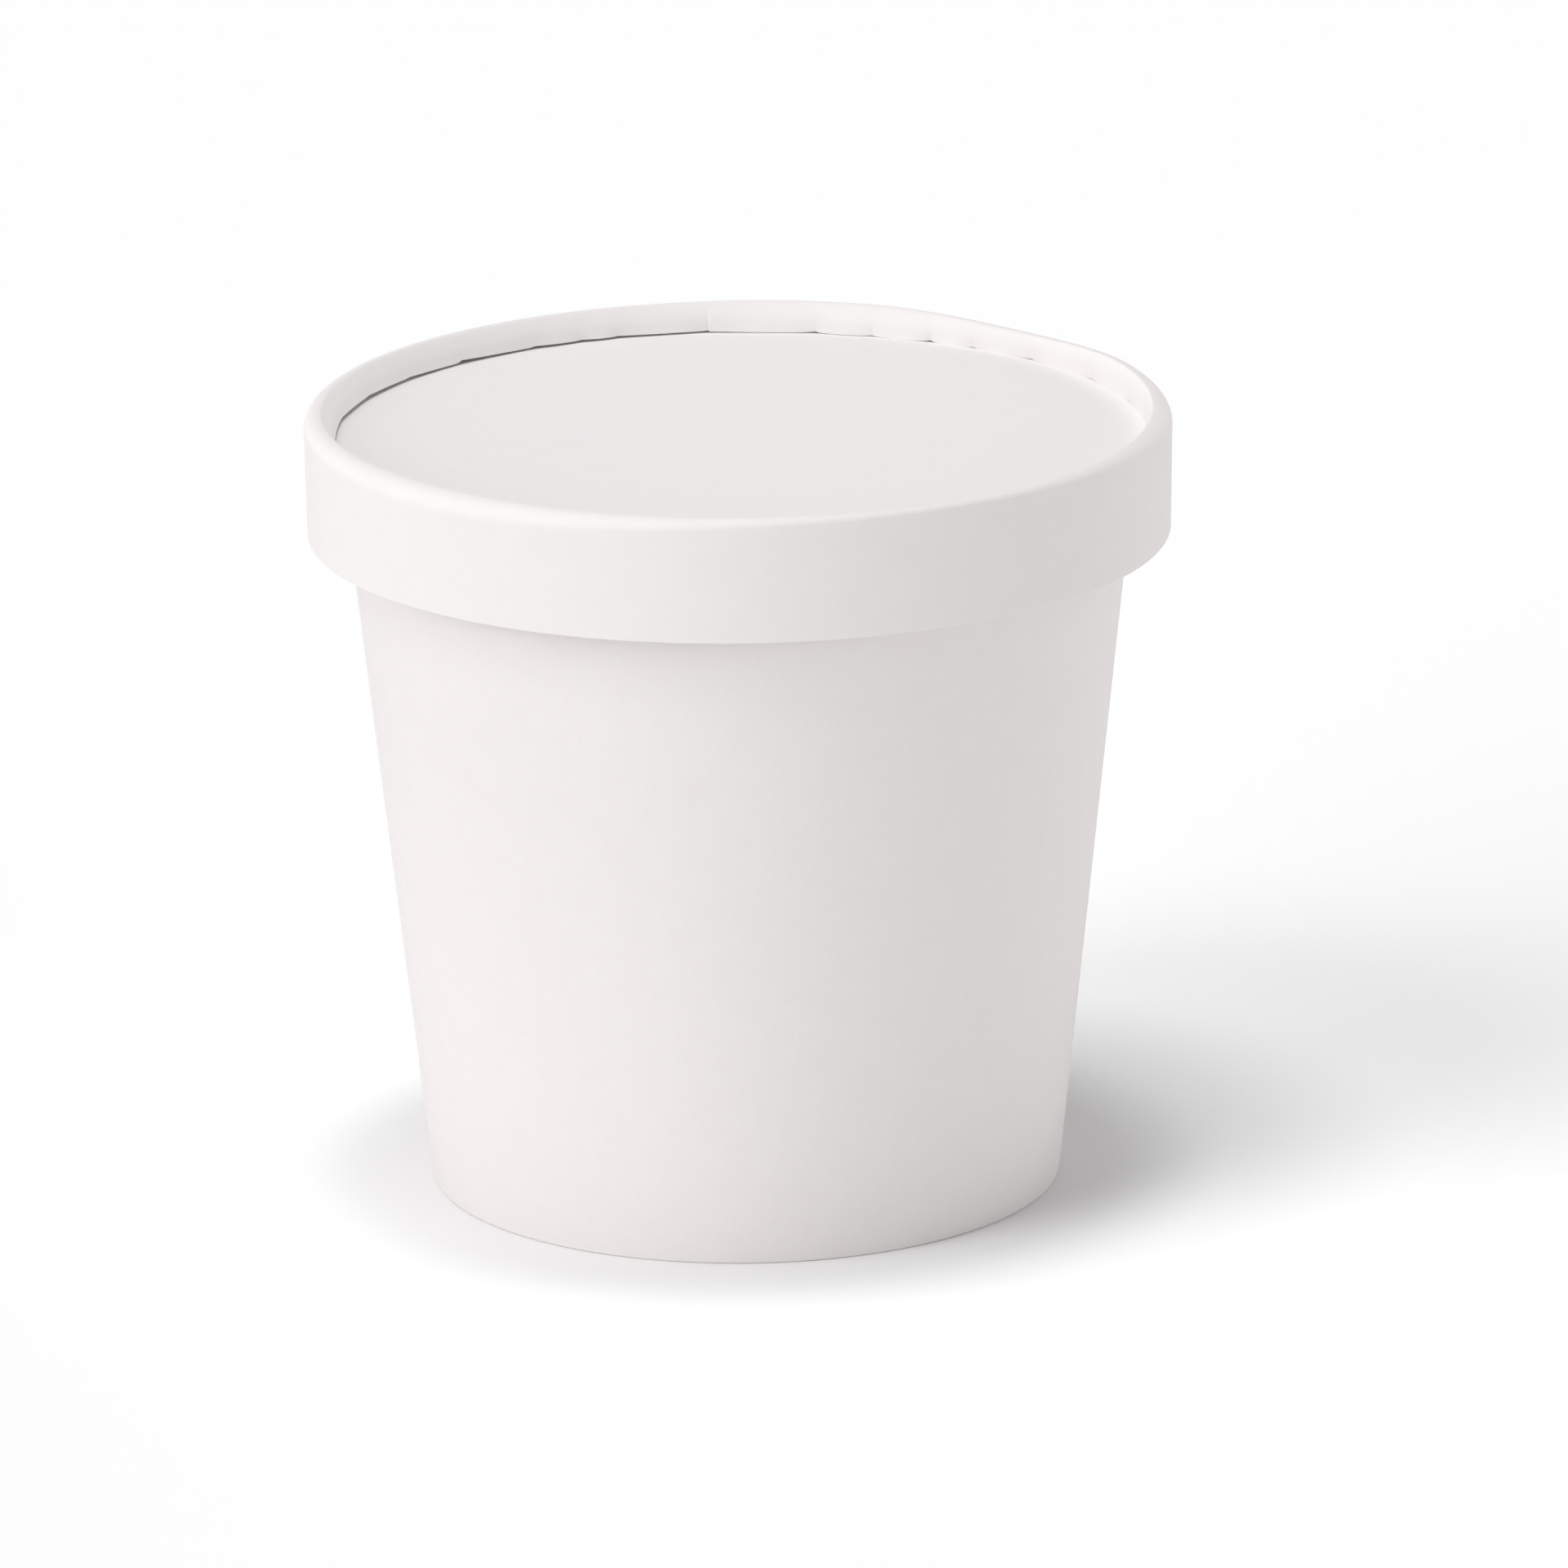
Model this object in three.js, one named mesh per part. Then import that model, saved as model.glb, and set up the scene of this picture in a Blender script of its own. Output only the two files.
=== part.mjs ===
// A shut paper ice cream cup: a tapered board tub with its rolled lip, a recessed base, and a paper
// lid made of a folded strip round a flat disc. Millimetres, +Z up, the foot on Z = 0 and centred
// on the origin. The side that the picture shows faces -Y; both lap seams are at the back, near +Y.

import * as THREE from "three";

// Cup
const BASE_R = 37.5; // outside radius of the foot
const WALL_SLOPE = 0.1063; // growth of the radius for each millimetre of height
const WALL_BOARD = 0.45; // thickness of the side wall's board
const FOOT_RING = 1.3; // wall, base skirt and turned-in wall, pressed together
const FOOT_ROUND = 0.25; // rounding of the fold that the cup stands on
const HEM_HEIGHT = 5.5; // height of the turned-in wall inside the foot
const BASE_RECESS = 7.2; // from the foot up to the underside of the base disc
const BASE_BOARD = 0.4; // thickness of the base disc's board
const BASE_SKIRT_Z = 5.8; // lower end of what shows of the base disc's skirt
const LIP_ROLL = 1.8; // radius of the rolled lip
const CUP_LAP_AT = 104; // where the side wall's outer end stops, in degrees from +X
const CUP_LAP_STEP = 0.27; // height of that end's cut edge, pressed flat by the glueing
const CUP_LAP_FADE = 24; // degrees over which the outline comes back out again

// Lid
const LID_EDGE_Z = 79.4; // lower edge of the lid's strip
const LID_EDGE_R = 51.0; // outside radius there
const CREST_Z = 94.2; // height of the crest
const SHOULDER_R = 51.2; // outside radius where the strip starts to turn in
const SHOULDER_ROUND = 2.35; // radius of the soft shoulder
const SHOULDER_ROUND_FRONT = 1.7; // the same at the front, where it is pressed tighter
const RIM_DIP = 0.6; // how far the crest is pressed down, behind on the right
const RIM_DIP_AT = 46; // middle of that dip, in degrees from +X
const RIM_DIP_HALF = 26; // half width of the dip, in degrees
const TURN_IN_R = 47.8; // inside radius of the turned-in strip at its lower edge
const TURN_IN_SHIFT = 0.3; // how far that edge is moved towards +X
const TURN_IN_ROWS = 6; // rows of faces down the turned-in side
const STRIP_BOARD = 0.5; // thickness of the strip
const DISC_TOP_Z = 90.45; // upper face of the recessed disc
const DISC_BOARD = 0.6; // thickness of the disc
const DISC_R = 50.2; // the disc reaches under the turned-in strip
const LID_LAP_AT = 94; // where the strip's outer end stops, in degrees from +X
const LID_LAP_STEP = 0.2; // height of that end's cut edge
const LID_LAP_FADE = 20; // degrees over which the outline comes back out again

// Pleats that the turned-in strip gathers into, in degrees from +X, in the order round the lid:
// the ones at the back, where its inner side shows, and how many more carry on round the front.
const PLEATS_AT_BACK = [3, 16, 29, 43, 61, 70, 79, LID_LAP_AT, 113, 121, 134, 146, 157, 170];
const PLEATS_AT_FRONT = 14;
const PLEAT_BACK = 0.35; // how far the lower edge stands back at a pleat
const PLEAT_RISE = 0.3; // how far the lower edge lifts at a pleat
const PLEAT_HALF = 1.3; // half width of that lift, in degrees

const GAP = 0.3; // clear space between neighbouring pieces
const COLUMN_STEP = 5; // largest angle between two columns of faces, in degrees
const LAP_EDGE = 0.25; // width of a lap's cut edge, in degrees

const rad = THREE.MathUtils.degToRad;
const wallR = (z) => BASE_R + WALL_SLOPE * z;

// Sorted azimuths from first to first + 360 that hold every mark, with no step over COLUMN_STEP.
function columns(marks) {
  const sorted = [...marks].sort((a, b) => a - b);
  return sorted.flatMap((from, i) => {
    const to = i + 1 < sorted.length ? sorted[i + 1] : sorted[0] + 360;
    const count = Math.max(1, Math.ceil((to - from) / COLUMN_STEP - 1e-6));
    return Array.from({ length: count }, (_, k) => from + ((to - from) * k) / count);
  });
}

// Quarters of the full turn, so that the solid reaches its full width along X and along Y.
const QUARTERS = [0, 90, 180, 270];

// Share of a lap's step that the outline lies in by, past the cut edge at lapAt: the layer below
// shows there, and the outline comes back out over `fade` degrees.
function lapShare(azimuth, lapAt, fade) {
  const past = (((azimuth - lapAt) % 360) + 360) % 360;
  if (past > fade || past === 0) return 0;
  return past < LAP_EDGE ? past / LAP_EDGE : 1 - (past - LAP_EDGE) / (fade - LAP_EDGE);
}

// A lathed body whose columns stand at the given azimuths. `shape(point, azimuth, j)` may move
// profile point j, [r, z], for its column. The profile runs up the outside and down the inside.
function turned(profile, azimuths, shape = (point) => point) {
  const outline = profile.map(([r, z]) => new THREE.Vector2(r, z));
  const geometry = new THREE.LatheGeometry(outline, azimuths.length);
  const position = geometry.getAttribute("position");
  for (let column = 0; column <= azimuths.length; column++) {
    const azimuth = azimuths[column % azimuths.length];
    for (let j = 0; j < profile.length; j++) {
      const [r, z] = shape(profile[j], azimuth, j);
      const turn = rad(azimuth);
      const x = r * Math.cos(turn);
      const y = r * Math.sin(turn);
      position.setXYZ(column * profile.length + j, x, y, z);
    }
  }
  geometry.computeVertexNormals();
  return geometry;
}

// Points on an arc round (r, z), from one angle to another in degrees, both ends included.
function arc(r, z, radius, from, to, steps) {
  return Array.from({ length: steps + 1 }, (_, k) => {
    const turn = rad(from + ((to - from) * k) / steps);
    return [r + radius * Math.cos(turn), z + radius * Math.sin(turn)];
  });
}

function piece(name, geometry, color, roughness) {
  const material = new THREE.MeshStandardMaterial({ color, roughness, metalness: 0 });
  const mesh = new THREE.Mesh(geometry, material);
  mesh.name = name;
  return mesh;
}

// The tub, which is shut and so is solid inside: a conical wall lapped at the back, a lip rolled
// outwards under the lid, and a foot whose board turns up inside round the base's skirt.
function cup() {
  const underside = BASE_RECESS + BASE_BOARD + GAP;
  const lipZ = DISC_TOP_Z - DISC_BOARD - GAP - LIP_ROLL;
  const lipR = wallR(lipZ) - WALL_BOARD + LIP_ROLL;
  const meetsWall = -180 + THREE.MathUtils.radToDeg(Math.acos(1 - WALL_BOARD / LIP_ROLL));
  const foot = FOOT_ROUND;
  const profile = [
    [0, underside],
    [wallR(underside) - WALL_BOARD, underside],
    [wallR(HEM_HEIGHT) - WALL_BOARD, HEM_HEIGHT],
    [wallR(HEM_HEIGHT) - FOOT_RING, HEM_HEIGHT],
    [wallR(foot) - FOOT_RING, foot],
    [BASE_R - FOOT_RING + foot, 0],
    [BASE_R - foot, 0],
    [wallR(foot), foot],
    [wallR(HEM_HEIGHT), HEM_HEIGHT],
    ...arc(lipR, lipZ, LIP_ROLL, meetsWall, 90, 10),
    [0, lipZ + LIP_ROLL],
  ];
  const firstOnWall = 7;
  const lastOnWall = 9;
  const onWall = ([r, z], azimuth, j) => {
    if (j < firstOnWall || j > lastOnWall) return [r, z];
    return [r - CUP_LAP_STEP * lapShare(azimuth, CUP_LAP_AT, CUP_LAP_FADE), z];
  };
  const marks = [...QUARTERS, CUP_LAP_AT, CUP_LAP_AT + LAP_EDGE, CUP_LAP_AT + CUP_LAP_FADE];
  return piece("cup", turned(profile, columns(marks), onWall), 0xefedec, 0.85);
}

// The base disc, set up inside the foot, with the part of its turned-down skirt that shows.
function cupBase() {
  const outer = wallR(BASE_SKIRT_Z) - WALL_BOARD - GAP;
  const inner = outer - BASE_BOARD;
  const top = BASE_RECESS + BASE_BOARD;
  const profile = [
    [0, BASE_RECESS],
    [inner - BASE_BOARD, BASE_RECESS],
    [inner, BASE_RECESS - BASE_BOARD],
    [inner, BASE_SKIRT_Z],
    [outer, BASE_SKIRT_Z],
    [outer, top - BASE_BOARD],
    [outer - BASE_BOARD, top],
    [0, top],
  ];
  return piece("cup_base", turned(profile, columns(QUARTERS)), 0xeceae8, 0.85);
}

// The lid's flat disc, which lies on the cup's lip and reaches under the turned-in strip.
function lidDisc() {
  const profile = [
    [0, DISC_TOP_Z - DISC_BOARD],
    [DISC_R, DISC_TOP_Z - DISC_BOARD],
    [DISC_R, DISC_TOP_Z],
    [0, DISC_TOP_Z],
  ];
  return piece("lid_disc", turned(profile, columns(QUARTERS)), 0xeae8e7, 0.8);
}

// The pleats in their order round the lid, the ones at the front evenly spread.
function pleats() {
  const from = PLEATS_AT_BACK.at(-1);
  const step = (360 + PLEATS_AT_BACK[0] - from) / (PLEATS_AT_FRONT + 1);
  const atFront = Array.from({ length: PLEATS_AT_FRONT }, (_, k) => from + step * (k + 1));
  return [...PLEATS_AT_BACK, ...atFront];
}

// How near an azimuth is to a pleat: 1 at a pleat, 0 halfway between two, and the angle to it.
function nearPleat(azimuth, folds) {
  const pastFold = (fold) => (((azimuth - fold) % 360) + 360) % 360;
  const before = Math.min(...folds.map(pastFold));
  const after = Math.min(...folds.map((fold) => 360 - pastFold(fold)));
  return { share: Math.abs(after - before) / (after + before), away: Math.min(before, after) };
}

// The lid's strip: a skirt that hangs clear of the cup's wall, a soft shoulder, and the upper edge
// turned in and down on to the disc. The disc's own raised edge is pressed up in the fold, so the
// fold is solid. The strip's ends lap at the back, and its turned-in edge gathers into pleats.
function lidRing() {
  const headZ = DISC_TOP_Z + GAP;
  const crestR = SHOULDER_R - SHOULDER_ROUND;
  const width = crestR - TURN_IN_R;
  const depth = CREST_Z - headZ;
  const shoulder = arc(crestR, CREST_Z - SHOULDER_ROUND, SHOULDER_ROUND, 0, 90, 6);
  const turnedIn = Array.from({ length: TURN_IN_ROWS }, (_, k) => {
    const turn = ((k + 1) / TURN_IN_ROWS) * (Math.PI / 2);
    const inwards = 0.4 * Math.sin(turn) + 0.6 * (1 - Math.cos(turn)); // part round, part straight
    return [crestR - width * inwards, headZ + depth * Math.cos(turn)];
  });
  const underside = [
    [SHOULDER_R - STRIP_BOARD, headZ],
    [LID_EDGE_R - STRIP_BOARD, LID_EDGE_Z],
  ];
  const edge = [LID_EDGE_R, LID_EDGE_Z];
  const profile = [edge, ...shoulder, ...turnedIn, ...underside, edge];
  const crest = shoulder.length;
  const lowerEdge = crest + TURN_IN_ROWS;
  const folds = pleats();
  const shape = ([r, z], azimuth, j) => {
    const onShoulder = j > 0 && j <= crest;
    const onTurnedIn = j > crest && j <= lowerEdge;
    const down = Math.min(1, (CREST_Z - z) / depth);

    // The shoulder is pressed tighter at the front, where the crest stands further out.
    const front = Math.max(0, -Math.sin(rad(azimuth))) ** 0.7;
    const tighter = 1 - (1 - SHOULDER_ROUND_FRONT / SHOULDER_ROUND) * front;
    const wider = 1 + ((1 - tighter) * SHOULDER_ROUND) / width;

    const apart = Math.abs(((azimuth - RIM_DIP_AT + 540) % 360) - 180) / RIM_DIP_HALF;
    const dip = RIM_DIP * Math.cos((Math.min(1, apart) * Math.PI) / 2) ** 2 * (1 - down);

    const lap = LID_LAP_STEP * lapShare(azimuth, LID_LAP_AT, LID_LAP_FADE);
    if (onShoulder) {
      const pressedR = SHOULDER_R - (SHOULDER_R - r) * tighter;
      const outwards = (r - crestR) / SHOULDER_ROUND; // the lap's step fades out at the crest
      return [pressedR - lap * outwards, CREST_Z - (CREST_Z - z) * tighter - dip];
    }
    if (onTurnedIn) {
      const { share, away } = nearPleat(azimuth, folds);
      const lift = j === lowerEdge ? PLEAT_RISE * Math.max(0, 1 - away / PLEAT_HALF) : 0;
      const back = (lap + PLEAT_BACK * share ** 2 * down) * down;
      const aside = TURN_IN_SHIFT * down * Math.cos(rad(azimuth));
      return [TURN_IN_R + (r - TURN_IN_R) * wider + back + aside, z + lift - dip];
    }
    return j === 0 || j === profile.length - 1 ? [r - lap, z] : [r, z];
  };
  const marks = folds.flatMap((fold) => [fold - PLEAT_HALF, fold, fold + PLEAT_HALF]);
  marks.push(...QUARTERS, LID_LAP_AT + LAP_EDGE);
  const spread = columns([...new Set(marks.map((mark) => (mark + 360) % 360))]);
  return piece("lid_ring", turned(profile, spread, shape), 0xf4f1f0, 0.85);
}

const tub = new THREE.Group();
tub.add(cup(), cupBase());

const lid = new THREE.Group();
lid.add(lidDisc(), lidRing());

const iceCreamCup = new THREE.Group();
iceCreamCup.add(tub, lid);

export default iceCreamCup;
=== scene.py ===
"""A plain white paper ice cream cup with its lid on, built in the order a packer makes it up.

Lengths are in metres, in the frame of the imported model: the foot stands on Z = 0, the axis is Z,
and the side that faces the camera is -Y. Azimuths are in degrees, counted from +X towards +Y.
"""

import math

import bmesh
import bpy
import numpy as np
from mathutils import Matrix, Vector


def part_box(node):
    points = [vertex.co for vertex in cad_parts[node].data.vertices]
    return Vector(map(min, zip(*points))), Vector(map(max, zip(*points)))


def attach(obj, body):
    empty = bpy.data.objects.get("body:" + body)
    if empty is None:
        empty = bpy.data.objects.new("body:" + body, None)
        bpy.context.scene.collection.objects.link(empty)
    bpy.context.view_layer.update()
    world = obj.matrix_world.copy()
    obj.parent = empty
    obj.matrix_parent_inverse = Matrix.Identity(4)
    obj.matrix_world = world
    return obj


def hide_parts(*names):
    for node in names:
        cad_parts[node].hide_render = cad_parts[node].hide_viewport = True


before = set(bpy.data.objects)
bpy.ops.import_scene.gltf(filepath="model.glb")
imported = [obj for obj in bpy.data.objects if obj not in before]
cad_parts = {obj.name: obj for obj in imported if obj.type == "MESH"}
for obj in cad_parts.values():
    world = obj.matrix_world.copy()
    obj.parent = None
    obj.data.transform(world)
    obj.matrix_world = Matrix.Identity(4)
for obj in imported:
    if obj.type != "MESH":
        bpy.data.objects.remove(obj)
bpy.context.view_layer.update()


# ---------------------------------------------------------------------------
# The side wall of the tub: one fan-shaped blank of white cup board, wrapped into a cone and lapped
# at the back. Its top edge is rolled outwards into the lip, and its foot is turned up inside round
# the base disc's skirt, where a knurled wheel presses the layers together.
# ---------------------------------------------------------------------------

MM = 0.001
cup_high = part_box("cup")[1]
base_low, base_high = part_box("cup_base")

WALL_FOOT_R = 37.5 * MM
WALL_SLOPE = 0.1063  # radius gained for each unit of height
WALL_BOARD = 0.45 * MM
FOOT_FOLD = 0.22 * MM
FOOT_RING = 1.3 * MM  # the layers of the foot, pressed together
HEM_TOP = 5.5 * MM
HEM_EDGE = 0.12 * MM
HEM_CLEAR = 0.3 * MM  # left free above the base disc
EDGE_RUN_IN = 0.2 * MM  # from a rounded edge to where a straight run of points starts
FOLD_RUN_OUT = 0.05 * MM  # the same above the foot's fold
LIP_ROLL = 1.8 * MM
WALL_LAP_AT = 104.0  # azimuth of the upper layer's cut edge
WALL_LAP_STEP = 0.27 * MM
WALL_LAP_FADE = 24.0  # degrees over which the outline comes back out again
LAP_EDGE = 0.12  # degrees that a lap's cut edge takes
WALL_SWAY = 0.05 * MM
WALL_WAVES = [(2, 0.5, 0.8), (3, 0.35, 2.1), (5, 0.15, 4.0)]
KNURL_RIDGES = 150
KNURL_DEPTH = 0.08 * MM
KNURL_FADE = 1 * MM
WALL_COLUMN = 0.6  # degrees between two columns of faces
SHARP_FROM = 38  # degrees between two faces from which their edge shows as sharp


def wall_radius(z):
    return WALL_FOOT_R + WALL_SLOPE * z


def arc(r, z, radius, start, stop, steps):
    """Points [r, z] on an arc about (r, z), both ends included; the angles are in degrees."""
    turns = np.radians(np.linspace(start, stop, steps + 1))
    return np.stack([r + radius * np.cos(turns), z + radius * np.sin(turns)], axis=1)


def run(start, stop, steps):
    """Points [r, z] on a straight run, without its last one."""
    share = np.linspace(0, 1, steps + 1)[:-1, None]
    return (1 - share) * np.array(start) + share * np.array(stop)


def azimuths(step, marks=(), near=0.06):
    """Azimuths once round, `step` degrees apart, that also hold each mark and a close neighbour."""
    spread = np.arange(0, 360, step)
    held = np.array([m + d for m in marks for d in (0, near)]) % 360
    clear = np.array([np.all(np.abs((a - held + 180) % 360 - 180) > 0.3 * step) for a in spread])
    return np.unique(np.concatenate([spread[clear] if len(held) else spread, held]))


def past(azimuth, mark):
    """Degrees from a mark round to an azimuth, 0 to 360."""
    return (azimuth - mark) % 360


def lap_share(azimuth, lap_at, fade):
    """Share of a lap's step that the surface lies lower by, past the cut edge of the upper layer."""
    way = past(azimuth, lap_at)
    down = np.clip(way / LAP_EDGE, 0, 1)
    back = np.clip(1 - (way - LAP_EDGE) / (fade - LAP_EDGE), 0, 1)
    return down * back**2


def sway(azimuth, waves):
    """A slow unevenness round the axis, from (turns, size, phase) waves."""
    turn = np.radians(azimuth)
    return sum(size * np.cos(count * turn + phase) for count, size, phase in waves)


def turned(name, outline, around, shape):
    """A closed board piece: the outline [r, z], carried round the axis. shape(r, z, azimuth) moves
    the points, as arrays of one row for each azimuth. Outline ends on the axis become one point."""
    outline = np.asarray(outline, float)
    azimuth = np.asarray(around, float)[:, None]
    r = np.repeat(outline[None, :, 0], len(around), axis=0)
    z = np.repeat(outline[None, :, 1], len(around), axis=0)
    r, z = shape(r, z, azimuth)
    turn = np.radians(azimuth)
    points = np.stack([r * np.cos(turn), r * np.sin(turn), z], axis=2).reshape(-1, 3)
    columns, rows = r.shape
    on_axis = outline[0, 0] == 0 and outline[-1, 0] == 0
    faces = []
    for i in range(columns):
        here, there = i * rows, (i + 1) % columns * rows
        for j in range(rows - 1 if on_axis else rows):
            up = (j + 1) % rows
            faces.append((here + j, there + j, there + up, here + up))
    mesh = bpy.data.meshes.new(name)
    mesh.from_pydata(points.tolist(), [], faces)
    made = bmesh.new()
    made.from_mesh(mesh)
    bmesh.ops.remove_doubles(made, verts=made.verts, dist=1e-7)
    bmesh.ops.recalc_face_normals(made, faces=made.faces)
    made.to_mesh(mesh)
    made.free()
    mesh.shade_smooth()
    mesh.set_sharp_from_angle(angle=math.radians(SHARP_FROM))
    piece = bpy.data.objects.new(name, mesh)
    bpy.context.scene.collection.objects.link(piece)
    return piece


class Paint:
    """A shader socket that reads as a number, a colour or a vector in plain expressions."""

    def __init__(self, tree, socket=None):
        self.tree = tree
        self.socket = socket

    def node(self, kind, settings=None, inputs=None, output=0):
        """Any node: its settings first, then the values or links of its sockets."""
        made = self.tree.nodes.new(kind)
        for key, value in (settings or {}).items():
            setattr(made, key, value)
        for key, value in (inputs or {}).items():
            if isinstance(value, Paint):
                self.tree.links.new(value.socket, made.inputs[key])
            else:
                made.inputs[key].default_value = value
        return Paint(self.tree, made.outputs[output])

    def math(self, operation, *values):
        return self.node("ShaderNodeMath", {"operation": operation}, dict(enumerate(values)))

    def __add__(self, other):
        return self.math("ADD", self, other)

    def __sub__(self, other):
        return self.math("SUBTRACT", self, other)

    def __rsub__(self, other):
        return self.math("SUBTRACT", other, self)

    def __mul__(self, other):
        return self.math("MULTIPLY", self, other)

    def __truediv__(self, other):
        return self.math("DIVIDE", self, other)

    def __rtruediv__(self, other):
        return self.math("DIVIDE", other, self)

    __radd__ = __add__
    __rmul__ = __mul__

    def clamped(self):
        return self.node("ShaderNodeClamp", None, {"Value": self})

    def scaled(self, factors):
        """This vector with its three parts multiplied by the factors."""
        return self.node("ShaderNodeVectorMath", {"operation": "MULTIPLY"}, {0: self, 1: factors})

    def length(self):
        return self.node("ShaderNodeVectorMath", {"operation": "LENGTH"}, {0: self}, "Value")

    def noise(self, scale, detail, roughness):
        """Cloudy noise from 0 to 1 at these coordinates; scale is in patches for each metre."""
        inputs = {"Vector": self, "Scale": scale, "Detail": detail, "Roughness": roughness}
        return self.node("ShaderNodeTexNoise", None, inputs)

    def mix(self, first, second):
        """A colour that goes from the first to the second as this number goes from 0 to 1."""
        inputs = {"Factor": self, 6: first, 7: second}
        return self.node("ShaderNodeMix", {"data_type": "RGBA"}, inputs, output=2)


CLOUDS_PER_METRE = 260
CLOUD_CONTRAST = 0.8
FIBRES_PER_METRE = 2600
FIBRE_CONTRAST = 1.0
FIBRE_RELIEF = 0.02 * MM
FIBRE_RELIEF_STRENGTH = 0.25
FIBRE_SHARE_OF_RELIEF = 0.7
BOARD_ROUGHNESS = 0.86
FIBRE_ROUGHNESS = 0.12
BOARD_SHEEN = 0.35
PAINTED_LIGHT_LIFT = 0.22  # how far the painted light on the turned-in side lifts the colour towards pure white


def board(name, colour, shaded, grain, painted_light_mask=None):
    """Matt white paperboard: cloudy fibre formation in its tone, and fibres felted along `grain` in
    its relief. The last argument makes a mask of where painted light lifts the colour towards white,
    standing in for light that the lamps give too little of."""
    material = bpy.data.materials.new(name)
    material.use_nodes = True
    tree = material.node_tree
    shader = tree.nodes["Principled BSDF"]
    paint = Paint(tree)
    place = paint.node("ShaderNodeTexCoord", output="Object")
    cloud = place.noise(CLOUDS_PER_METRE, detail=3.0, roughness=0.55)
    fibres = place.scaled(grain).noise(FIBRES_PER_METRE, detail=3.0, roughness=0.65)
    tone = ((cloud - 0.5) * CLOUD_CONTRAST + (fibres - 0.5) * FIBRE_CONTRAST + 0.5).clamped()
    finish = tone.mix((*shaded, 1), (*colour, 1))
    if painted_light_mask:
        # Painted light: the masked part is lifted towards pure white.
        finish = (painted_light_mask(place) * PAINTED_LIGHT_LIFT).mix(finish, (1, 1, 1, 1))
    relief = fibres * FIBRE_SHARE_OF_RELIEF + cloud * (1 - FIBRE_SHARE_OF_RELIEF)
    bump = paint.node(
        "ShaderNodeBump",
        None,
        {"Strength": FIBRE_RELIEF_STRENGTH, "Distance": FIBRE_RELIEF, "Height": relief},
    )
    rough = (fibres - 0.5) * FIBRE_ROUGHNESS + BOARD_ROUGHNESS
    tree.links.new(finish.socket, shader.inputs["Base Color"])
    tree.links.new(bump.socket, shader.inputs["Normal"])
    tree.links.new(rough.socket, shader.inputs["Roughness"])
    shader.inputs["Specular IOR Level"].default_value = BOARD_SHEEN
    return material


def side_wall():
    lip_z = cup_high.z - LIP_ROLL
    lip_r = wall_radius(lip_z) - WALL_BOARD + LIP_ROLL
    wall_meets_lip = -180 + math.degrees(math.acos(1 - WALL_BOARD / LIP_ROLL))
    ceiling = base_high.z + HEM_CLEAR
    heel = FOOT_FOLD
    hem_r = wall_radius(HEM_TOP) - FOOT_RING
    lip = arc(lip_r, lip_z, LIP_ROLL, wall_meets_lip, 90, 26)
    recess = [
        (0, ceiling),
        (wall_radius(ceiling) - WALL_BOARD, ceiling),
        (wall_radius(HEM_TOP) - WALL_BOARD, HEM_TOP),
    ]
    parts = [
        recess,
        arc(hem_r + HEM_EDGE, HEM_TOP - HEM_EDGE, HEM_EDGE, 90, 180, 3),
        run((hem_r, HEM_TOP - EDGE_RUN_IN), (wall_radius(0) - FOOT_RING, heel), 6),
        arc(WALL_FOOT_R - FOOT_RING + heel, heel, heel, 180, 270, 4),
        arc(WALL_FOOT_R - heel, heel, heel, 270, 360, 4),
        run((wall_radius(heel), heel + FOLD_RUN_OUT), lip[0], 60)[1:],
        lip,
        [(0, cup_high.z)],
    ]
    after = np.cumsum([len(part) for part in parts])
    hem_from, hem_to = after[0] + 1, after[2]
    wall_from, wall_to = after[3] + 1, after[5] + 1

    def shape(r, z, azimuth):
        index = np.arange(r.shape[1])[None, :]
        on_wall = (index >= wall_from) & (index < wall_to)
        drop = WALL_LAP_STEP * lap_share(azimuth, WALL_LAP_AT, WALL_LAP_FADE)
        height = np.clip(z / cup_high.z, 0, 1)
        middle = 4 * height * (1 - height)
        give = WALL_SWAY * middle * sway(azimuth, WALL_WAVES)
        on_hem = (index >= hem_from) & (index < hem_to)
        ridge = 0.5 + 0.5 * np.cos(np.radians(azimuth) * KNURL_RIDGES)
        below_top = np.clip((HEM_TOP - z) / KNURL_FADE, 0, 1)
        pressed = below_top * np.clip((z - heel) / KNURL_FADE, 0, 1)
        return r + on_wall * (give - drop) + on_hem * KNURL_DEPTH * ridge * pressed, z

    around = azimuths(WALL_COLUMN, [WALL_LAP_AT, WALL_LAP_AT + LAP_EDGE])
    return turned("cup_side_wall", np.concatenate(parts), around, shape)


CUP_WHITE = (0.781, 0.749, 0.745)
CUP_SHADE = (0.746, 0.714, 0.708)
GRAIN_UP = (1.0, 1.0, 0.35)

cup_wall = side_wall()
cup_wall.data.materials.append(board("cup_board_white", CUP_WHITE, CUP_SHADE, GRAIN_UP))
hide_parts("cup")
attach(cup_wall, "root")


# ---------------------------------------------------------------------------
# The base disc: a round of the same board, its rim turned down into a short skirt that the side
# wall's foot grips. It is pushed up into the foot, so the cup stands on the wall's fold alone.
# ---------------------------------------------------------------------------

BASE_BOARD = 0.4 * MM
BASE_BEND = 0.5 * MM
BASE_SAG = 0.25 * MM
BASE_RIPPLE = 0.12 * MM
BASE_WAVES = [(2, 0.6, 1.3), (3, 0.4, 0.2)]
BASE_ROWS = 24
DISC_COLUMN = 1.0  # degrees between two columns of faces, on both discs
BASE_WHITE = (0.765, 0.746, 0.732)
BASE_SHADE = (0.725, 0.704, 0.690)
GRAIN_ACROSS = (0.35, 1.0, 1.0)


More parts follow.
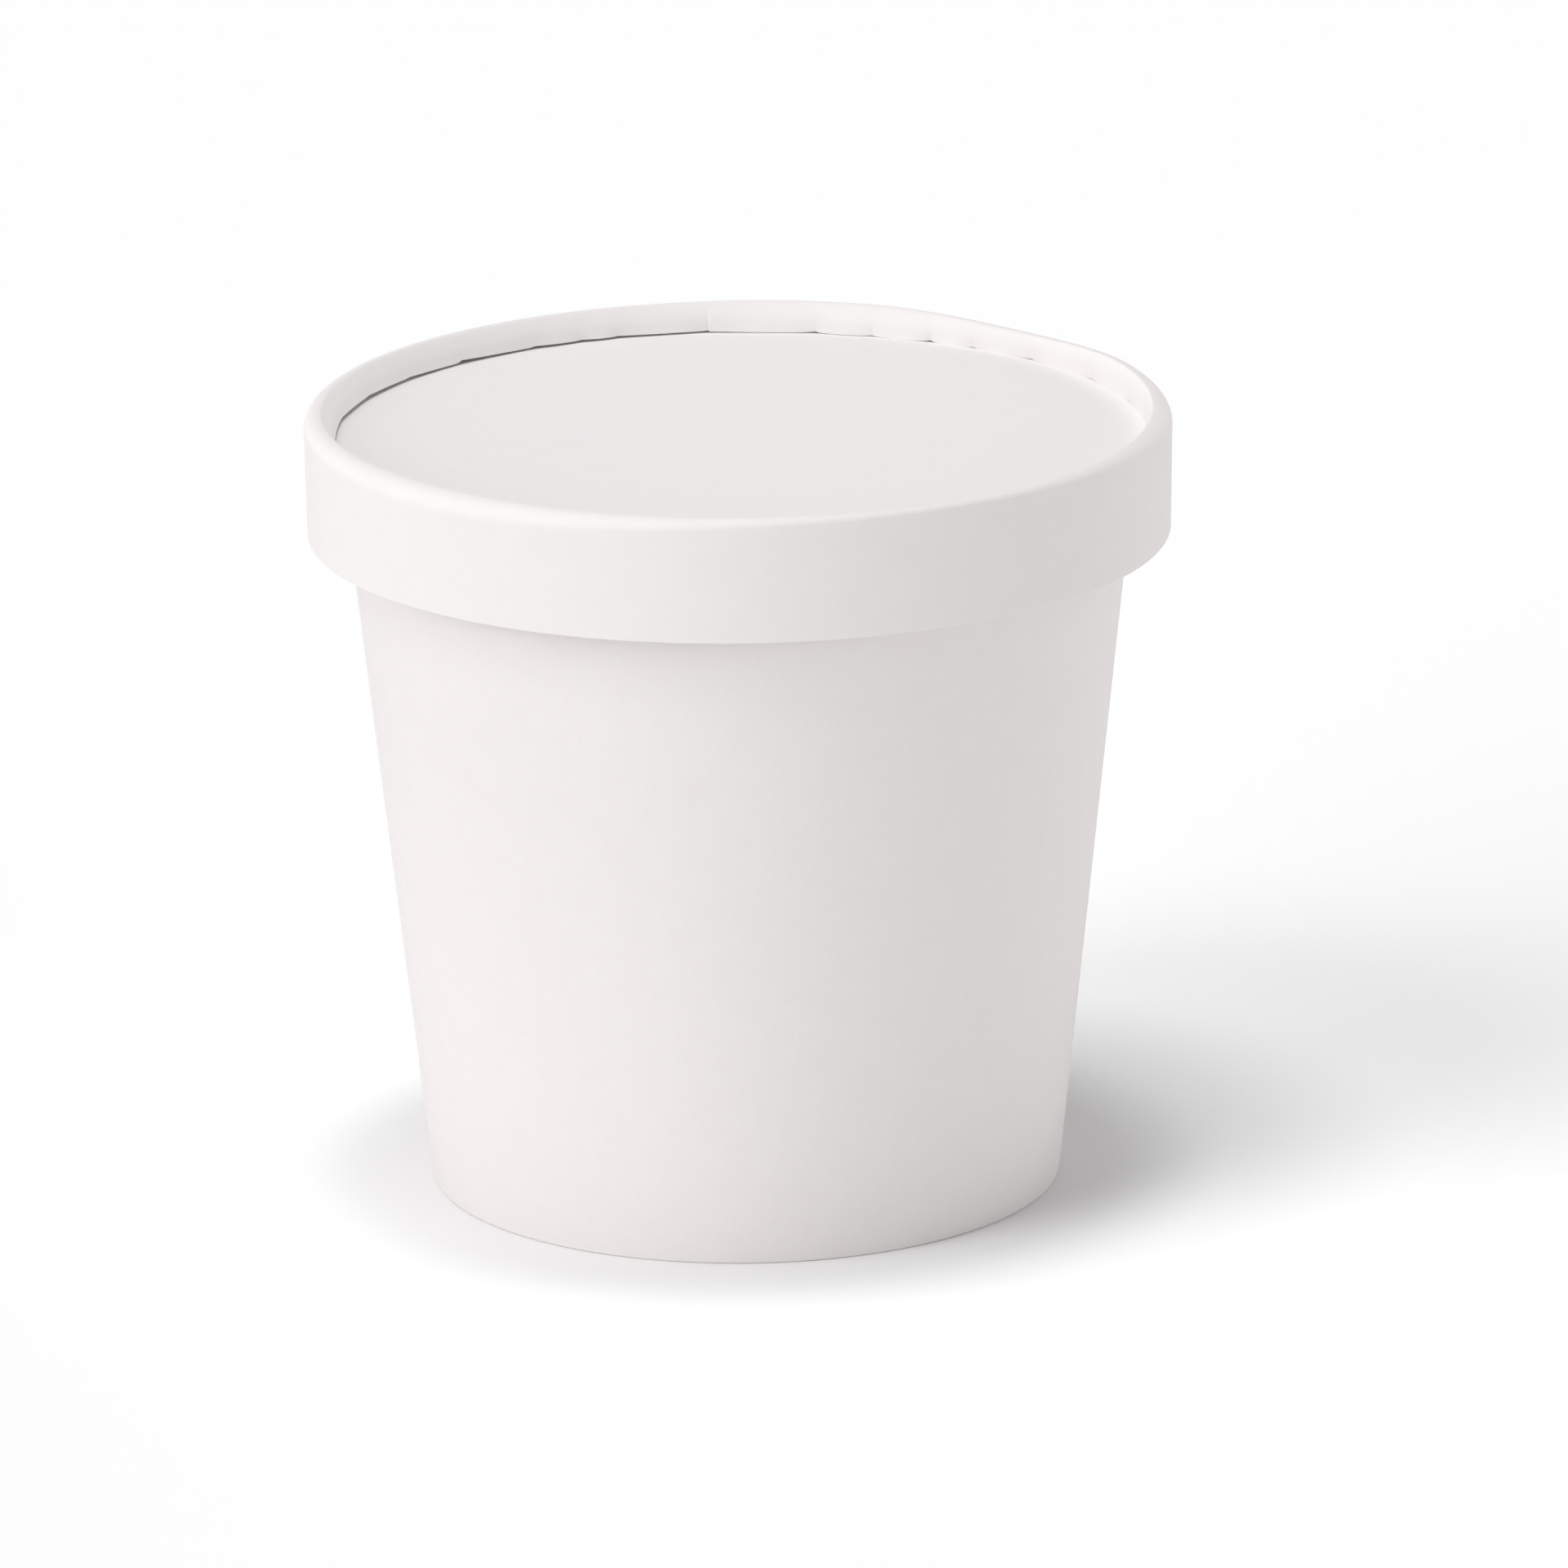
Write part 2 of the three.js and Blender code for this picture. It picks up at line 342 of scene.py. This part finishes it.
def base_disc():
    outer = base_high.x
    inner = outer - BASE_BOARD
    floor = base_high.z - BASE_BOARD
    bend_r = inner - BASE_BEND
    bend_z = floor - BASE_BEND
    outline = np.concatenate(
        [
            run((0, floor), (bend_r, floor), BASE_ROWS),
            arc(bend_r, bend_z, BASE_BEND, 90, 0, 5),
            [(inner, base_low.z)],
            [(outer, base_low.z)],
            arc(outer - BASE_BEND - BASE_BOARD, bend_z, BASE_BEND + BASE_BOARD, 0, 90, 6),
            [(0, base_high.z)],
        ]
    )

    def shape(r, z, azimuth):
        out = r / inner
        hollow = BASE_SAG * np.clip(1 - out**2, 0, 1)
        ripple = BASE_RIPPLE * out * sway(azimuth, BASE_WAVES) * (1 - out**6)
        under = np.arange(r.shape[1])[None, :] < BASE_ROWS
        return r, z + under * (hollow - ripple)

    return turned("cup_base_disc", outline, azimuths(DISC_COLUMN), shape)


cup_base = base_disc()
cup_base.data.materials.append(board("base_board_white", BASE_WHITE, BASE_SHADE, GRAIN_ACROSS))
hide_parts("cup_base")
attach(cup_base, "root")


# ---------------------------------------------------------------------------
# The lid's disc: a flat round of board that lies on the cup's lip, sunk below the lid's crest. It
# gives a little in the middle, and the lid's strip holds it by its rim.
# ---------------------------------------------------------------------------

disc_low, disc_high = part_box("lid_disc")

DISC_SAG = 0.05 * MM
DISC_WAVES = [(2, 0.6, 0.4), (3, 0.4, 1.9)]
DISC_ROWS = 40
DISC_WHITE = (0.790, 0.771, 0.768)
DISC_SHADE = (0.768, 0.748, 0.744)
TURN_IN_R = 47.8 * MM


def flat_disc():
    outline = np.concatenate(
        [
            [(0, disc_low.z)],
            [(disc_high.x, disc_low.z)],
            run((disc_high.x, disc_high.z), (0, disc_high.z), DISC_ROWS),
            [(0, disc_high.z)],
        ]
    )

    def shape(r, z, azimuth):
        share = np.clip(1 - (r / TURN_IN_R) ** 2, 0, 1)
        ripple = 1 + (1 - share) * sway(azimuth, DISC_WAVES)
        on_top = z > (disc_low.z + disc_high.z) / 2
        return r, z - on_top * DISC_SAG * share * ripple

    return turned("lid_top_disc", outline, azimuths(DISC_COLUMN), shape)


lid_disc = flat_disc()
lid_disc.data.materials.append(board("disc_board_white", DISC_WHITE, DISC_SHADE, GRAIN_ACROSS))
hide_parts("lid_disc")
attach(lid_disc, "root")


# ---------------------------------------------------------------------------
# The lid's strip: a ribbon of board wrapped round the disc and lapped at the back. Its lower half
# hangs as the skirt; its upper edge is turned over a soft shoulder and pressed down inside on to
# the disc, where the spare length gathers into small pleats.
# ---------------------------------------------------------------------------

strip_low, strip_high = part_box("lid_ring")

STRIP_BOARD = 0.5 * MM
SKIRT_EDGE_R = 51.0 * MM
SKIRT_EDGE_NICK = 0.07 * MM
SHOULDER_ROUND = 2.35 * MM
TURN_IN_ROUND = 0.7  # share of the way down over which the turned-in side rolls
TURN_IN_SLANT = 0.45  # share of its way in that is an even slant
TURN_IN_SHIFT = 0.3 * MM  # how far its lower edge is moved towards +X
LEAF_BOARD = 0.9 * MM  # its thickness at the disc, out of sight
LEAF_SPREAD = 0.5 * MM  # what that gains up to the hollow's roof
HOLLOW_ABOVE_DISC = 1.0 * MM
LID_LAP_AT = 94.0
LID_LAP_STEP = 0.16 * MM
LID_LAP_FADE = 20.0
STRIP_COLUMN = 0.4  # degrees between two columns of faces

# What varies round the rim comes as a size and a span: the azimuth of its middle and the degrees
# to either side over which it dies away.
TIGHTER_ALL_ROUND = 0.5 * MM
TIGHTER_AT_RIGHT_FRONT = 1.15 * MM
RIGHT_FRONT = (-62, 66)
ROUNDER_AT_LEFT_FRONT = 0.5 * MM
LEFT_FRONT = (-135, 50)
ROUNDER_AT_RIGHT = 0.55 * MM
RIGHT = (12, 45)
RIM_DIP = 0.72 * MM
RIM_DIP_SPAN = (46, 26)
RIM_DIP_ON_LEFT = 0.22 * MM
RIM_DIP_BEHIND = 0.1 * MM
TURN_IN_PULLED_BACK = 0.4 * MM
PULLED_BACK_SPAN = (42, 34)
PLEAT_BOW = 0.35 * MM
SMOOTHED = 0.7
SMOOTHED_SPAN = (150, 60)
GAP_PRESSED_SHUT = -0.02 * MM
GAP_AT_LEFT_END = 0.24 * MM
LEFT_END = (163, 36)

# Two more parts of the gap go by the degrees from the lap, counted to the left: one behind, which
# opens over the first pair and shuts over the second, and one from the lap on, which shuts too.
GAP_BEHIND = 0.065 * MM
GAP_BEHIND_OPENS = (-32, -20)
GAP_BEHIND_SHUTS = (120, 180)
GAP_ON_LEFT = 0.16 * MM
GAP_ON_LEFT_SHUTS = (75, 125)

# How far the lower edge opens at each pleat, by the pleat's azimuth. The pleats from 186 degrees on
# are at the front, where their inner side is out of sight, and are drawn at random.
PLEATS = {
    3: 0.03 * MM,
    15.9: 0.07 * MM,
    29.3: 0.09 * MM,
    43.5: 0.12 * MM,
    54: 0.09 * MM,
    61.1: 0.24 * MM,
    70.2: 0.1 * MM,
    78.6: 0.18 * MM,
    94: 0.1 * MM,
    107.6: 0.05 * MM,
    113.1: 0.07 * MM,
    120.8: 0.12 * MM,
    134.1: 0.26 * MM,
    145.7: 0.08 * MM,
    157.5: 0.06 * MM,
    170: 0.04 * MM,
}
random = np.random.default_rng(5)
for place in range(186, 357, 13):
    PLEATS[place + random.uniform(-3, 3)] = random.uniform(0.05, 0.3) * MM

# How an opened pleat closes again: the degrees that it takes on the side nearer the lap and on the
# other side, to the left of the lap and to the right of it.
PLEAT_ON_LEFT = (7.0, 0.4)
PLEAT_ON_RIGHT = (1.4, 0.6)


def swell(azimuth, at, half):
    """1 at an azimuth, falling smoothly to 0 at `half` degrees on either side of it."""
    away = np.clip(np.abs((azimuth - at + 180) % 360 - 180) / half, 0, 1)
    return np.cos(away * math.pi / 2) ** 2


def pleat_gap(azimuth):
    """Height of the gap between the strip's lower edge and the disc. It is open to the left of the
    lap and shut further to the right. Each pleat stands open on the side nearer the lap."""
    from_lap = (azimuth - LID_LAP_AT + 180) % 360 - 180
    left = (from_lap > 0) * np.interp(from_lap, GAP_ON_LEFT_SHUTS, (1, 0))
    behind = np.interp(from_lap, GAP_BEHIND_OPENS, (0, 1))
    behind = behind * np.interp(from_lap, GAP_BEHIND_SHUTS, (1, 0))
    gap = GAP_PRESSED_SHUT + GAP_BEHIND * behind + GAP_ON_LEFT * left
    gap = gap + GAP_AT_LEFT_END * swell(azimuth, *LEFT_END)
    for place, opening in PLEATS.items():
        side = 1 if past(place, LID_LAP_AT) < 180 else -1
        near = ((place - azimuth) * side + 180) % 360 - 180
        reach, shut = PLEAT_ON_LEFT if side > 0 else PLEAT_ON_RIGHT
        gap = gap + opening * np.where(near >= 0, np.exp(-near / reach), np.exp(near / shut))
    return gap


def folded_strip():
    folds = np.sort(np.array(list(PLEATS)))
    shoulder_r = strip_high.x
    crest_r = shoulder_r - SHOULDER_ROUND
    shoulder_z = strip_high.z - SHOULDER_ROUND
    disc_z = disc_high.z
    depth = strip_high.z - disc_z
    width = crest_r - TURN_IN_R
    leaf_r = TURN_IN_R + LEAF_BOARD
    roof_z = disc_z + HOLLOW_ABOVE_DISC
    nick = SKIRT_EDGE_NICK
    skirt_in = SKIRT_EDGE_R - STRIP_BOARD
    skirt = np.concatenate(
        [
            arc(SKIRT_EDGE_R - nick, strip_low.z + nick, nick, 270, 360, 2),
            run((SKIRT_EDGE_R, strip_low.z + EDGE_RUN_IN), (shoulder_r, shoulder_z), 24),
        ]
    )
    shoulder = arc(crest_r, shoulder_z, SHOULDER_ROUND, 0, 90, 20)

    # The turned-in side rolls over from the crest and runs on down to the disc at a slant.
    drop = 1 - np.cos(np.radians(np.linspace(4, 90, 30)))
    rolled = np.sqrt(1 - (1 - np.clip(drop / TURN_IN_ROUND, 0, 1)) ** 2)
    inwards = TURN_IN_SLANT * drop + (1 - TURN_IN_SLANT) * rolled
    inside = np.stack([crest_r - width * inwards, strip_high.z - depth * drop], axis=1)
    hidden = [
        (leaf_r, disc_z),
        (leaf_r + LEAF_SPREAD, roof_z),
        (shoulder_r - STRIP_BOARD, roof_z),
        (skirt_in, strip_low.z + nick),
        (skirt_in + nick, strip_low.z),
    ]
    outline = np.concatenate([skirt, shoulder, inside, hidden])
    index = np.arange(len(outline))[None, :]
    shoulder_from = len(skirt)
    inside_from = shoulder_from + len(shoulder)
    is_shoulder = (index >= shoulder_from) & (index < inside_from)
    is_leaf = (index >= inside_from) & (index <= inside_from + len(inside))

    def shape(r, z, azimuth):
        down = np.clip(1 - (z - disc_z) / depth, 0, 1)

        # The shoulder is tightest at the front on the right. It is roundest at the front on the left
        # and at the right end.
        out = TIGHTER_ALL_ROUND + TIGHTER_AT_RIGHT_FRONT * swell(azimuth, *RIGHT_FRONT)
        out = out - ROUNDER_AT_LEFT_FRONT * swell(azimuth, *LEFT_FRONT)
        out = out - ROUNDER_AT_RIGHT * swell(azimuth, *RIGHT)
        tighter = 1 - out / SHOULDER_ROUND
        wider = 1 + out / width
        r = np.where(is_shoulder, shoulder_r - (shoulder_r - r) * tighter, r)
        z = np.where(is_shoulder, strip_high.z - (strip_high.z - z) * tighter, z)
        r = np.where(is_leaf, TURN_IN_R + (r - TURN_IN_R) * wider, r)

        # The rim is pressed lower behind on the right, and stands slightly lower on the left.
        left = np.clip(-np.cos(np.radians(azimuth)), 0, 1) ** 0.5
        behind = np.clip(np.sin(np.radians(azimuth)), 0, 1) ** 0.5
        dip = RIM_DIP * swell(azimuth, *RIM_DIP_SPAN)
        dip = (dip + RIM_DIP_ON_LEFT * left + RIM_DIP_BEHIND * behind) * (1 - down)

        # The strip's outer end lies on its inner one, and the step fades out towards the crest.
        lap = LID_LAP_STEP * lap_share(azimuth, LID_LAP_AT, LID_LAP_FADE)
        outwards = (index < inside_from) * np.clip((r - crest_r) / SHOULDER_ROUND, 0, 1)

        # Between two pleats the turned-in edge runs straight, so it stands furthest in midway. It
        # is smoother to the left of the lap.
        here = azimuth.ravel() % 360
        after = np.searchsorted(folds, here, side="right")
        low, high = folds[after - 1], folds[after % len(folds)]
        way = ((here - low) % 360 / ((high - low) % 360))[:, None]
        straight = 1 - SMOOTHED * swell(azimuth, *SMOOTHED_SPAN)
        bow = PLEAT_BOW * down**2 * (2 * way - 1) ** 2 * straight
        aside = TURN_IN_SHIFT * down * np.cos(np.radians(azimuth))
        aside = aside + TURN_IN_PULLED_BACK * down * swell(azimuth, *PULLED_BACK_SPAN)
        r = r - lap * outwards + is_leaf * (lap * down + bow + aside)
        return r, z + is_leaf * pleat_gap(azimuth) * down**3 - dip

    around = azimuths(STRIP_COLUMN, [*folds, LID_LAP_AT + LAP_EDGE])
    return turned("lid_folded_strip", outline, around, shape)


STRIP_WHITE = (0.781, 0.750, 0.747)
STRIP_SHADE = (0.754, 0.723, 0.718)
# Painted light on the turned-in side: within this radius the strip's colour is lifted towards white,
# for light that the lamps give it too little of.
PAINTED_LIGHT_WITHIN_R = 49.0 * MM
PAINTED_LIGHT_FADE = 0.7 * MM


def turn_in_painted_light(place):
    """Mask of painted light: 1 on the turned-in side, rolled over the crest, and 0 outside it."""
    from_axis = place.scaled((1, 1, 0)).length()
    return ((PAINTED_LIGHT_WITHIN_R - from_axis) / PAINTED_LIGHT_FADE).clamped()


lid_strip = folded_strip()
# The strip's turned-in side is whitened with painted light.
strip_finish = board("strip_board_white", STRIP_WHITE, STRIP_SHADE, GRAIN_UP, turn_in_painted_light)
lid_strip.data.materials.append(strip_finish)
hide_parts("lid_ring")
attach(lid_strip, "root")


# ---------------------------------------------------------------------------
# The table: a plain white sheet under the cup, a hair below its foot, and far wider than the
# picture.
# ---------------------------------------------------------------------------

FLOOR_HALF = 3.0
FLOOR_CLEARANCE = 0.02 * MM
FLOOR_WHITE = (0.93, 0.93, 0.93)
FLOOR_ROUGHNESS = 0.9


def white_table():
    mesh = bpy.data.meshes.new("white_table")
    corners = [(-1, -1), (1, -1), (1, 1), (-1, 1)]
    points = [(x * FLOOR_HALF, y * FLOOR_HALF, -FLOOR_CLEARANCE) for x, y in corners]
    mesh.from_pydata(points, [], [(0, 1, 2, 3)])
    table = bpy.data.objects.new("white_table", mesh)
    bpy.context.scene.collection.objects.link(table)
    material = bpy.data.materials.new("table_white")
    material.use_nodes = True
    shader = material.node_tree.nodes["Principled BSDF"]
    shader.inputs["Base Color"].default_value = (*FLOOR_WHITE, 1)
    shader.inputs["Roughness"].default_value = FLOOR_ROUGHNESS
    shader.inputs["Specular IOR Level"].default_value = 0.0
    table.data.materials.append(material)
    return table


white_table()


# ---------------------------------------------------------------------------
# The light: a white studio with an even glow. Two lamps hang above the cup, one stands high on the
# left in front of it and throws the long shadow, and soft panels stand low all round.
# ---------------------------------------------------------------------------

# Each lamp: the azimuth it shines from, its height and its width in degrees, and its strength.
STUDIO_LAMPS = {
    "overhead_lamp": (0, 89, 10, 0.66),
    "top_left_lamp": (-154, 80, 20, 0.87),
    "key_lamp": (-141, 50, 20, 0.47),
    "left_front_panel": (-150, 10, 60, 2.32),
    "right_front_panel": (-40, 5, 30, 0.84),
    "right_back_panel": (30, 15, 60, 0.92),
    "back_panel": (90, 20, 60, 0.41),
}
STUDIO_GLOW = 0.15


def studio_light():
    world = bpy.data.worlds.new("studio")
    world.use_nodes = True
    glow = world.node_tree.nodes["Background"]
    glow.inputs["Color"].default_value = (1, 1, 1, 1)
    glow.inputs["Strength"].default_value = STUDIO_GLOW
    bpy.context.scene.world = world
    for name, (azimuth, height, width, strength) in STUDIO_LAMPS.items():
        lamp = bpy.data.lights.new(name, "SUN")
        lamp.energy = strength
        lamp.angle = math.radians(width)
        holder = bpy.data.objects.new(name, lamp)
        turn, rise = math.radians(azimuth), math.radians(height)
        level = math.cos(rise)
        towards = Vector((level * math.cos(turn), level * math.sin(turn), math.sin(rise)))
        holder.rotation_euler = towards.to_track_quat("Z", "Y").to_euler()
        holder.location = towards
        bpy.context.scene.collection.objects.link(holder)


studio_light()


# ---------------------------------------------------------------------------
# The camera: far off with a long lens, looking down on the lid at a low angle.
# ---------------------------------------------------------------------------

CAMERA_BACK = 1.5375
CAMERA_HEIGHT = 0.50343
CAMERA_DOWN = 16.518
CAMERA_RIGHT = 0.185
CAMERA_ROLL = -0.594
CAMERA_LENS = 309.73
CAMERA_SENSOR = 36


def photo_camera():
    data = bpy.data.cameras.new("photo_camera")
    data.lens = CAMERA_LENS
    data.sensor_width = CAMERA_SENSOR
    data.clip_end = 20
    camera = bpy.data.objects.new("photo_camera", data)
    camera.location = (0, -CAMERA_BACK, CAMERA_HEIGHT)
    swing = Matrix.Rotation(math.radians(-CAMERA_RIGHT), 3, "Z")
    tilt = Matrix.Rotation(math.radians(90 - CAMERA_DOWN), 3, "X")
    roll = Matrix.Rotation(math.radians(CAMERA_ROLL), 3, "Z")
    camera.rotation_euler = (swing @ tilt @ roll).to_euler()
    bpy.context.scene.collection.objects.link(camera)
    bpy.context.scene.camera = camera
    bpy.context.scene.view_settings.view_transform = "Standard"


photo_camera()
